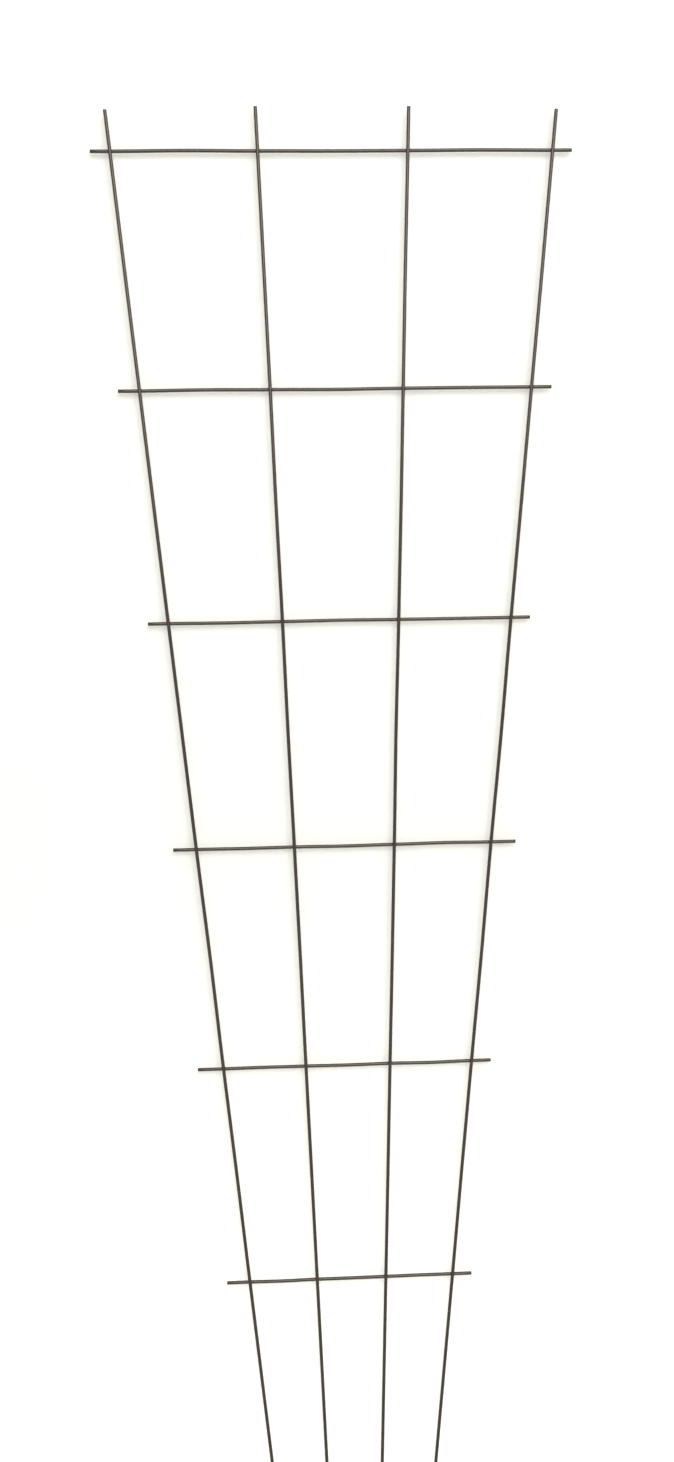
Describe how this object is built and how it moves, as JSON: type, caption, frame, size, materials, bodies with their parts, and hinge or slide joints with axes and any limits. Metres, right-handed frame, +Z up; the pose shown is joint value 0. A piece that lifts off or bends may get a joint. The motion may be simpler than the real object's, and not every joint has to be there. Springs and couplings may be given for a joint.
{
  "type": "fan trellis",
  "caption": "Flat fan-shaped garden trellis: straight steel rods that spread upwards as uprights, level cross bars welded behind them, and bare leg ends to push into the soil.",
  "frame": {"origin": "on the ground, at the bottom centre of the whole trellis, under the middle of its thickness", "axes": "+Z up along the height, +X to the right seen from the front, and the front, where the uprights are, faces -Y"},
  "size_m": [0.628, 0.0098, 1.9001],
  "materials": {
    "rod_coat": "satin dark brown powder coat on drawn steel rod",
    "weld_coat": "the same coat over rough weld metal"
  },
  "bodies": {
    "root": {"upright_left_outer": "rod_coat", "upright_left_inner": "rod_coat", "upright_right_inner": "rod_coat", "upright_right_outer": "rod_coat", "cross_bar_1": "rod_coat", "cross_bar_2": "rod_coat", "cross_bar_3": "rod_coat", "cross_bar_4": "rod_coat", "cross_bar_5": "rod_coat", "cross_bar_6": "rod_coat", "weld_1_left_outer": "weld_coat", "weld_1_left_inner": "weld_coat", "weld_1_right_inner": "weld_coat", "weld_1_right_outer": "weld_coat", "weld_2_left_outer": "weld_coat", "weld_2_left_inner": "weld_coat", "weld_2_right_inner": "weld_coat", "weld_2_right_outer": "weld_coat", "weld_3_left_outer": "weld_coat", "weld_3_left_inner": "weld_coat", "weld_3_right_inner": "weld_coat", "weld_3_right_outer": "weld_coat", "weld_4_left_outer": "weld_coat", "weld_4_left_inner": "weld_coat", "weld_4_right_inner": "weld_coat", "weld_4_right_outer": "weld_coat", "weld_5_left_outer": "weld_coat", "weld_5_left_inner": "weld_coat", "weld_5_right_inner": "weld_coat", "weld_5_right_outer": "weld_coat", "weld_6_left_outer": "weld_coat", "weld_6_left_inner": "weld_coat", "weld_6_right_inner": "weld_coat", "weld_6_right_outer": "weld_coat"}
  },
  "joints": []
}
